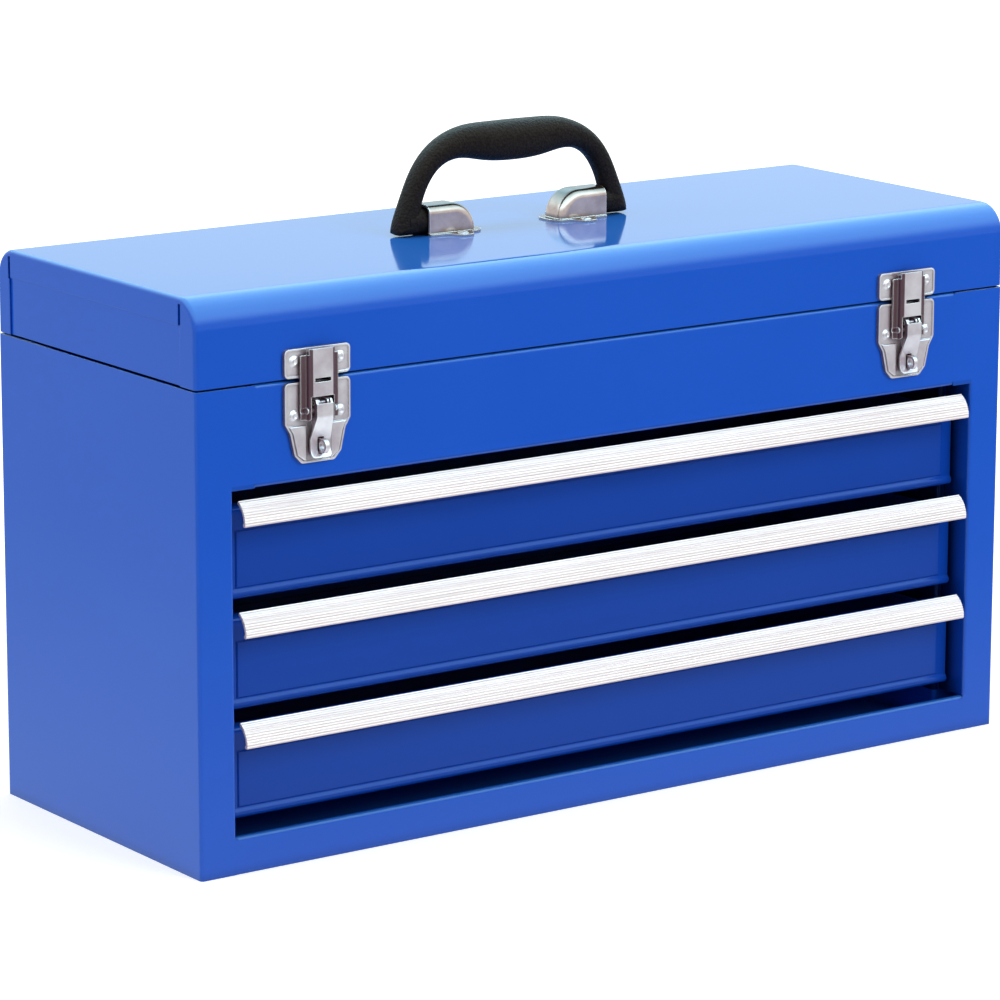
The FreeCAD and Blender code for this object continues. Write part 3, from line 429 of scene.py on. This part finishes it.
def makePlated(name, setup):
    material = newMaterial(name)
    tree = material.node_tree
    shader = setInputs(tree.nodes.new("ShaderNodeBsdfPrincipled"), Metallic=setup["metal"])
    skin = addSkin(tree, setup)
    tone = addRamp(tree, setup["deep"], setup["light"], setup["darkAt"], setup["paleAt"])
    geometry = tree.nodes.new("ShaderNodeNewGeometry")
    split = tree.nodes.new("ShaderNodeSeparateXYZ")
    top = addRange(tree, From_Min=setup["topFrom"], From_Max=setup["topTo"], To_Min=1.0, To_Max=setup["topTone"])
    shade = addNode(tree, "ShaderNodeVectorMath", operation="SCALE")
    nook = addNook(tree, setup)
    across = addNode(tree, "ShaderNodeMath", operation="ABSOLUTE")
    wall = addRange(tree, From_Min=setup["wallFrom"], From_Max=setup["wallTo"], To_Min=1.0,
                    To_Max=1 - setup["wall"])
    bright = addNode(tree, "ShaderNodeMath", operation="MINIMUM")
    blend = addNode(tree, "ShaderNodeMix", data_type="RGBA")
    blend.inputs["A"].default_value = toLinear(*setup["nook"])
    # painted highlight along the edges, mixed over the colour
    edge = placeGroup(tree, edgeHighlightGroup, Radius=setup["rimRadius"] * millimetre)
    edgeLit = addNode(tree, "ShaderNodeMix", data_type="RGBA")
    edgeLit.inputs["B"].default_value = toLinear(*setup["rim"])
    tree.links.new(skin.outputs["Cloud"], tone.inputs["Fac"])
    tree.links.new(geometry.outputs["Normal"], split.inputs["Vector"])
    tree.links.new(split.outputs["Z"], top.inputs["Value"])
    tree.links.new(tone.outputs["Color"], shade.inputs["Vector"])
    tree.links.new(top.outputs["Result"], shade.inputs["Scale"])
    tree.links.new(split.outputs["X"], across.inputs[0])
    tree.links.new(across.outputs["Value"], wall.inputs["Value"])
    if "lip" in setup:
        tree.links.new(addLipMask(tree, setup["lip"]), wall.inputs["To Min"])
    tree.links.new(wall.outputs["Result"], bright.inputs[0])
    tree.links.new(nook.outputs["Openness"], bright.inputs[1])
    tree.links.new(bright.outputs["Value"], blend.inputs["Factor"])
    tree.links.new(shade.outputs["Vector"], blend.inputs["B"])
    tree.links.new(edge.outputs["Mask"], edgeLit.inputs["Factor"])
    tree.links.new(blend.outputs["Result"], edgeLit.inputs["A"])
    tree.links.new(edgeLit.outputs["Result"], shader.inputs["Base Color"])
    tree.links.new(skin.outputs["Roughness"], shader.inputs["Roughness"])
    bumpInto(tree, shader, skin.outputs["Height"], setup)
    finishMaterial(tree, shader)
    return material


# moulded black plastic with a leathery pebble grain
plasticSetup = {
    "dark": (27, 23, 20), "pale": (46, 41, 37), "darkAt": 0.3, "paleAt": 0.8, "ior": 1.15,
    "shineTint": (1.0, 0.7, 0.6, 1.0), "pebbleScale": 760.0, "noiseScale": 900.0, "noiseDetail": 3.0,
    "roughLow": 0.28, "roughHigh": 0.55, "bump": 0.55, "bumpDepth": 0.5, "edge": 1.2,
}


def makeGrainedPlastic(setup):
    material = newMaterial("grainedBlackPlastic")
    tree = material.node_tree
    shader = setInputs(tree.nodes.new("ShaderNodeBsdfPrincipled"), IOR=setup["ior"],
                       Specular_Tint=setup["shineTint"])
    coordinate = tree.nodes.new("ShaderNodeTexCoord")
    cells = setInputs(tree.nodes.new("ShaderNodeTexVoronoi"), Scale=setup["pebbleScale"])
    noise = setInputs(tree.nodes.new("ShaderNodeTexNoise"), Scale=setup["noiseScale"],
                      Detail=setup["noiseDetail"])
    height = addNode(tree, "ShaderNodeMath", operation="ADD")
    tone = addRamp(tree, setup["dark"], setup["pale"], setup["darkAt"], setup["paleAt"])
    rough = addRange(tree, To_Min=setup["roughLow"], To_Max=setup["roughHigh"])
    for texture in (cells, noise):
        tree.links.new(coordinate.outputs["Object"], texture.inputs["Vector"])
    tree.links.new(cells.outputs["Distance"], height.inputs[0])
    tree.links.new(noise.outputs["Fac"], height.inputs[1])
    tree.links.new(noise.outputs["Fac"], tone.inputs["Fac"])
    tree.links.new(tone.outputs["Color"], shader.inputs["Base Color"])
    tree.links.new(cells.outputs["Distance"], rough.inputs["Value"])
    tree.links.new(rough.outputs["Result"], shader.inputs["Roughness"])
    bumpInto(tree, shader, height.outputs["Value"], setup)
    finishMaterial(tree, shader)
    return material


aluminium = makeAluminium(aluminiumSetup)
nickel = makePlated("brightNickel", nickelSetup)
chrome = makePlated("brightChrome", chromeSetup)
zinc = makePlated("zincSteel", zincSetup)
strapNickel = makePlated("strapNickel", strapSetup)
blackPlastic = makeGrainedPlastic(plasticSetup)
print("materials made")

slotMaterials = {
    "blue_paint": casePaint,
    "drawer_blue_paint": drawerPaint,
    "satin_aluminium": aluminium,
    "bright_nickel": nickel,
    "zinc_steel": zinc,
    "black_plastic": blackPlastic,
}
nodeSlots = {entry["node"]: entry["material_slot"] for entry in frame["record"]["subparts"]}


def paintNode(node, material):
    piece = frame["nodes"][node]
    piece.data.materials.clear()
    piece.data.materials.append(material)


ownMaterials = {"handle_cup_left": chrome, "handle_cup_right": chrome, "latch_strap_left": strapNickel,
                "latch_strap_right": strapNickel}
for node in frame["nodes"]:
    paintNode(node, ownMaterials.get(node, slotMaterials[nodeSlots[node]]))
print("frame nodes painted")


def deselectAll():
    bpy.ops.object.select_all(action="DESELECT")


# a soft edged copy of a pressed or bent node: its sharp edges are rounded over
softSetup = {"weldReach": 0.01, "flatAngle": 0.6, "edgeAngle": 28, "smoothAngle": 38, "segments": 2}


def softCopy(node, width, setup):
    deselectAll()
    source = frame["nodes"][node]
    source.select_set(True)
    bpy.context.view_layer.objects.active = source
    bpy.ops.object.duplicate()
    piece = bpy.context.object
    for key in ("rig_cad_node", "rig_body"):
        if key in piece:
            del piece[key]
    piece.name = "soft_" + node
    piece.parent = None
    bpy.ops.object.mode_set(mode="EDIT")
    bpy.ops.mesh.select_all(action="SELECT")
    bpy.ops.mesh.customdata_custom_splitnormals_clear()
    bpy.ops.mesh.remove_doubles(threshold=setup["weldReach"] * millimetre)
    bpy.ops.mesh.dissolve_limited(angle_limit=math.radians(setup["flatAngle"]))
    bpy.ops.mesh.select_all(action="SELECT")
    bpy.ops.mesh.vert_connect_concave()
    bpy.ops.object.mode_set(mode="OBJECT")
    bevel = piece.modifiers.new("edge", "BEVEL")
    bevel.width = width
    bevel.segments = setup["segments"]
    bevel.limit_method = "ANGLE"
    bevel.angle_limit = math.radians(setup["edgeAngle"])
    bevel.use_clamp_overlap = False
    bevel.loop_slide = False
    bpy.ops.object.modifier_apply(modifier=bevel.name)
    bpy.ops.object.shade_smooth_by_angle(angle=math.radians(setup["smoothAngle"]))
    weigh = piece.modifiers.new("flat", "WEIGHTED_NORMAL")
    weigh.keep_sharp = True
    bpy.ops.object.modifier_apply(modifier=weigh.name)
    return piece


def dress(piece, node, name):
    piece.name = name
    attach(piece, frame["nodes"][node]["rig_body"])


# the listed sheet-metal and latch pieces get the small rounding that their cut edges have
sides = ("left", "right")
drawers = ("top", "middle", "bottom")
softEdges = {"lid_skin": 0.15, "lid_end_left": 0.25, "lid_end_right": 0.25, "upper_front_panel": 0.3,
             "lower_front_rail": 0.3, "back_panel": 0.25}
for drawer in drawers:
    softEdges["drawer_" + drawer + "_pan"] = 0.25
for side in sides:
    softEdges.update({"latch_keeper_" + side: 0.15, "latch_base_" + side: 0.15, "latch_staple_" + side: 0.3})
for node, width in softEdges.items():
    piece = softCopy(node, width * millimetre, softSetup)
    dress(piece, node, "soft_" + node)
    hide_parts(node)
print("soft edges made")


# the spot-welded seams of the front are filled and painted over: a flush strip on each,
# from a height over the floor to a little below the top of its panel
seamSetup = {"width": 1.5, "proud": 0.02, "seams": {"upper_front_panel": (openingSetup["top"], 0.45),
                                                    "lower_front_rail": (0.4, 0.3)}}


def coverSeams(setup):
    for node, (start, short) in setup["seams"].items():
        low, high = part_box(node)
        bottom = cadLow.z + start * millimetre
        top = high.z - short * millimetre
        front = low.y - setup["proud"] * millimetre
        for side, place in zip(sides, (low.x, high.x)):
            deselectAll()
            bpy.ops.mesh.primitive_plane_add(size=1, location=(place, front, (bottom + top) / 2),
                                             rotation=(math.radians(90), 0, 0))
            strip = bpy.context.object
            strip.scale = (setup["width"] * millimetre, top - bottom, 1)
            bpy.ops.object.transform_apply(location=True, rotation=True, scale=True)
            strip.data.materials.append(casePaint)
            dress(strip, node, "seam_" + node + "_" + side)


coverSeams(seamSetup)
print("seams covered")


# the ribbed face of a drawer pull: an edge is spun over the curved front, and its rows
# are then moved out from the axis into ribs
pullSetup = {"radius": 12.7, "height": 11.0, "centreFromRear": 4.2, "ribs": 10, "rowsPerRib": 10,
             "floor": 0.03, "crest": 0.24, "endInset": 0.1}


def selectWhere(piece, test):
    bpy.ops.object.mode_set(mode="EDIT")
    bpy.ops.mesh.select_mode(type="VERT")
    bpy.ops.mesh.select_all(action="DESELECT")
    bpy.ops.object.mode_set(mode="OBJECT")
    for vertex in piece.data.vertices:
        vertex.select = test(vertex.co)
    bpy.ops.object.mode_set(mode="EDIT")


def makePullFace(drawer, setup):
    node = "drawer_" + drawer + "_pull"
    low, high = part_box(node)
    axisY = high.y - setup["centreFromRear"] * millimetre
    axisZ = high.z - setup["height"] * millimetre
    axis = (0, axisY, axisZ)
    radius = (setup["radius"] + setup["floor"]) * millimetre
    length = 2 * (high.x - setup["endInset"] * millimetre)
    rows = setup["ribs"] * setup["rowsPerRib"]
    reach = math.asin(setup["height"] / setup["radius"])
    deselectAll()
    bpy.ops.mesh.primitive_plane_add(size=length, location=(0, 0, 0))
    face = bpy.context.object
    selectWhere(face, lambda co: co.y > 0)
    bpy.ops.mesh.delete(type="VERT")
    bpy.ops.mesh.select_all(action="SELECT")
    bpy.ops.transform.translate(value=(0, axisY - radius + length / 2, axisZ))
    bpy.ops.mesh.spin(steps=rows, angle=reach, center=axis, axis=(1, 0, 0))

    def rowOf(co):
        return round(rows * math.atan2(co.z - axisZ, axisY - co.y) / reach) % setup["rowsPerRib"]

    for row in range(setup["rowsPerRib"] // 2):
        crest = setup["crest"] * (0.5 + 0.5 * math.cos(2 * math.pi * row / setup["rowsPerRib"])) * millimetre
        mirrored = (row, (setup["rowsPerRib"] - row) % setup["rowsPerRib"])
        selectWhere(face, lambda co: rowOf(co) in mirrored)
        outward = 1 + crest / radius
        bpy.ops.transform.resize(value=(1, outward, outward), center_override=axis)
    bpy.ops.object.mode_set(mode="OBJECT")
    if face.data.polygons[0].normal.y > 0:
        bpy.ops.object.mode_set(mode="EDIT")
        bpy.ops.mesh.select_all(action="SELECT")
        bpy.ops.mesh.flip_normals()
        bpy.ops.object.mode_set(mode="OBJECT")
    bpy.ops.object.shade_smooth()
    face.data.materials.append(aluminium)
    dress(face, node, "pull_face_" + drawer)


for drawer in drawers:
    makePullFace(drawer, pullSetup)
print("pull faces made")


# the floor is white and softly shadowed for the camera; what shines in the object sees
# a glow on it that fades with the distance from the box, faster in front
floorSetup = {
    "size": 14.0, "color": (1.0, 1.0, 1.0, 1.0), "albedo": 0.75, "cameraNear": 0.55, "cameraReach": 0.9,
    "glowNear": 1.05, "glowReach": 0.9, "glowFront": 0.4, "glowBack": 0.92, "glowSpan": 0.8,
    "glowTint": (0.74, 0.93, 1.0, 1.0),
}


def makeFloorGlow(setup, half):
    group, enter, leave = newGroup("floorGlow", {}, ("Distance", "Glow"))
    coordinate = group.nodes.new("ShaderNodeTexCoord")
    folded = addNode(group, "ShaderNodeVectorMath", operation="ABSOLUTE")
    beyond = addNode(group, "ShaderNodeVectorMath", operation="SUBTRACT")
    beyond.inputs[1].default_value = half
    kept = addNode(group, "ShaderNodeVectorMath", operation="MAXIMUM")
    length = addNode(group, "ShaderNodeVectorMath", operation="LENGTH")
    split = group.nodes.new("ShaderNodeSeparateXYZ")
    slant = addNode(group, "ShaderNodeMath", operation="SUBTRACT")
    far = addRange(group, From_Min=-setup["glowSpan"], From_Max=setup["glowSpan"],
                   To_Min=setup["glowFront"], To_Max=setup["glowBack"])
    fade = addNode(group, "ShaderNodeMapRange", interpolation_type="SMOOTHERSTEP")
    setInputs(fade, From_Min=-setup["glowReach"], From_Max=setup["glowReach"], To_Min=2 * setup["glowNear"])
    group.links.new(coordinate.outputs["Object"], folded.inputs[0])
    group.links.new(folded.outputs["Vector"], beyond.inputs[0])
    group.links.new(beyond.outputs["Vector"], kept.inputs[0])
    group.links.new(kept.outputs["Vector"], length.inputs[0])
    group.links.new(coordinate.outputs["Object"], split.inputs["Vector"])
    group.links.new(split.outputs["Y"], slant.inputs[0])
    group.links.new(split.outputs["X"], slant.inputs[1])
    group.links.new(slant.outputs["Value"], far.inputs["Value"])
    group.links.new(length.outputs["Value"], fade.inputs["Value"])
    group.links.new(far.outputs["Result"], fade.inputs["To Max"])
    group.links.new(length.outputs["Value"], leave.inputs["Distance"])
    group.links.new(fade.outputs["Result"], leave.inputs["Glow"])
    return group


def makeFloor(setup):
    deselectAll()
    bpy.ops.mesh.primitive_plane_add(size=setup["size"], location=(0, 0, cadLow.z))
    floor = bpy.context.object
    floor.name = "floor"
    material = newMaterial("paleFloor")
    tree = material.node_tree
    place = placeGroup(tree, makeFloorGlow(setup, (cadHigh.x, -cadLow.y, 0.0)))
    diffuse = setInputs(tree.nodes.new("ShaderNodeBsdfDiffuse"), Color=[setup["albedo"]] * 3 + [1.0])
    seen = setInputs(tree.nodes.new("ShaderNodeEmission"), Color=setup["color"])
    shine = setInputs(tree.nodes.new("ShaderNodeEmission"), Color=setup["glowTint"])
    lift = addNode(tree, "ShaderNodeMapRange", interpolation_type="SMOOTHSTEP")
    setInputs(lift, From_Max=setup["cameraReach"], To_Min=setup["cameraNear"], To_Max=1.0)
    path = tree.nodes.new("ShaderNodeLightPath")
    direct = addNode(tree, "ShaderNodeMath", operation="MAXIMUM")
    share = addNode(tree, "ShaderNodeMath", operation="MULTIPLY")
    total = tree.nodes.new("ShaderNodeAddShader")
    choice = tree.nodes.new("ShaderNodeMixShader")
    output = tree.nodes.new("ShaderNodeOutputMaterial")
    tree.links.new(place.outputs["Distance"], lift.inputs["Value"])
    tree.links.new(path.outputs["Is Camera Ray"], direct.inputs[0])
    tree.links.new(path.outputs["Is Transmission Ray"], direct.inputs[1])
    tree.links.new(direct.outputs["Value"], share.inputs[0])
    tree.links.new(lift.outputs["Result"], share.inputs[1])
    tree.links.new(share.outputs["Value"], seen.inputs["Strength"])
    tree.links.new(place.outputs["Glow"], shine.inputs["Strength"])
    tree.links.new(diffuse.outputs["BSDF"], total.inputs[0])
    tree.links.new(seen.outputs["Emission"], total.inputs[1])
    tree.links.new(path.outputs["Is Glossy Ray"], choice.inputs["Fac"])
    tree.links.new(total.outputs["Shader"], choice.inputs[1])
    tree.links.new(shine.outputs["Emission"], choice.inputs[2])
    tree.links.new(choice.outputs["Shader"], output.inputs["Surface"])
    floor.data.materials.append(material)


# the world is an even fill, white for the camera; reflections see it bright low down
# behind, duller in front, with a broad light overhead
worldSetup = {
    "fill": 0.42, "glossFront": 1.0, "glossBack": 1.34, "glossSpan": 0.6, "glossTop": 4.4,
    "lowTint": (0.74, 0.93, 1.0, 1.0), "highTint": (0.5, 0.86, 1.0, 1.0), "riseLow": 0.2, "riseHigh": 0.62,
}


def makeWorld(setup):
    world = bpy.data.worlds.new("studio")
    bpy.context.scene.world = world
    world.use_nodes = True
    tree = world.node_tree
    tree.nodes.clear()
    coordinate = tree.nodes.new("ShaderNodeTexCoord")
    split = tree.nodes.new("ShaderNodeSeparateXYZ")
    sweep = addRange(tree, From_Min=-setup["glossSpan"], From_Max=setup["glossSpan"],
                     To_Min=setup["glossFront"], To_Max=setup["glossBack"])
    rise = addNode(tree, "ShaderNodeMapRange", interpolation_type="SMOOTHSTEP")
    setInputs(rise, From_Min=setup["riseLow"], From_Max=setup["riseHigh"], To_Max=setup["glossTop"])
    path = tree.nodes.new("ShaderNodeLightPath")
    mirror = addNode(tree, "ShaderNodeMath", operation="MAXIMUM")
    fill = tree.nodes.new("ShaderNodeBackground")
    fill.inputs["Strength"].default_value = setup["fill"]
    shine = tree.nodes.new("ShaderNodeBackground")
    white = tree.nodes.new("ShaderNodeBackground")
    for light in (fill, white):
        light.inputs["Color"].default_value = (1, 1, 1, 1)
    height = addRange(tree, From_Min=setup["riseLow"], From_Max=setup["riseHigh"])
    tint = addNode(tree, "ShaderNodeMix", data_type="RGBA")
    tint.inputs["A"].default_value = setup["lowTint"]
    tint.inputs["B"].default_value = setup["highTint"]
    tree.links.new(split.outputs["Z"], height.inputs["Value"])
    tree.links.new(height.outputs["Result"], tint.inputs["Factor"])
    tree.links.new(tint.outputs["Result"], shine.inputs["Color"])
    first = tree.nodes.new("ShaderNodeMixShader")
    second = tree.nodes.new("ShaderNodeMixShader")
    output = tree.nodes.new("ShaderNodeOutputWorld")
    tree.links.new(coordinate.outputs["Generated"], split.inputs["Vector"])
    tree.links.new(split.outputs["Y"], sweep.inputs["Value"])
    tree.links.new(split.outputs["Z"], rise.inputs["Value"])
    tree.links.new(sweep.outputs["Result"], rise.inputs["To Min"])
    tree.links.new(rise.outputs["Result"], shine.inputs["Strength"])
    tree.links.new(path.outputs["Is Glossy Ray"], mirror.inputs[0])
    tree.links.new(path.outputs["Is Transmission Ray"], mirror.inputs[1])
    tree.links.new(mirror.outputs["Value"], first.inputs["Fac"])
    tree.links.new(fill.outputs["Background"], first.inputs[1])
    tree.links.new(shine.outputs["Background"], first.inputs[2])
    tree.links.new(path.outputs["Is Camera Ray"], second.inputs["Fac"])
    tree.links.new(first.outputs["Shader"], second.inputs[1])
    tree.links.new(white.outputs["Background"], second.inputs[2])
    tree.links.new(second.outputs["Shader"], output.inputs["Surface"])


# soft lamps, kept out of the reflections
lampSetups = [
    {"name": "keyLamp", "place": (0.9, -2.6, 1.9), "size": 1.6, "power": 46.0},
    {"name": "sideLamp", "place": (-2.6, 0.5, 1.3), "size": 1.4, "power": 22.0},
    {"name": "topLamp", "place": (0.3, 0.3, 2.7), "size": 1.6, "power": 26.0},
]
lampTarget = Vector((0, 0, 0.15))


def makeLamp(setup):
    data = bpy.data.lights.new(setup["name"], "AREA")
    data.size = setup["size"]
    data.energy = setup["power"]
    lamp = bpy.data.objects.new(setup["name"], data)
    bpy.context.scene.collection.objects.link(lamp)
    lamp.location = setup["place"]
    lamp.visible_glossy = False
    lamp.rotation_mode = "QUATERNION"
    lamp.rotation_quaternion = (lampTarget - lamp.location).to_track_quat("-Z", "Y")


makeFloor(floorSetup)
makeWorld(worldSetup)
for lampSetup in lampSetups:
    makeLamp(lampSetup)
print("stage lit")
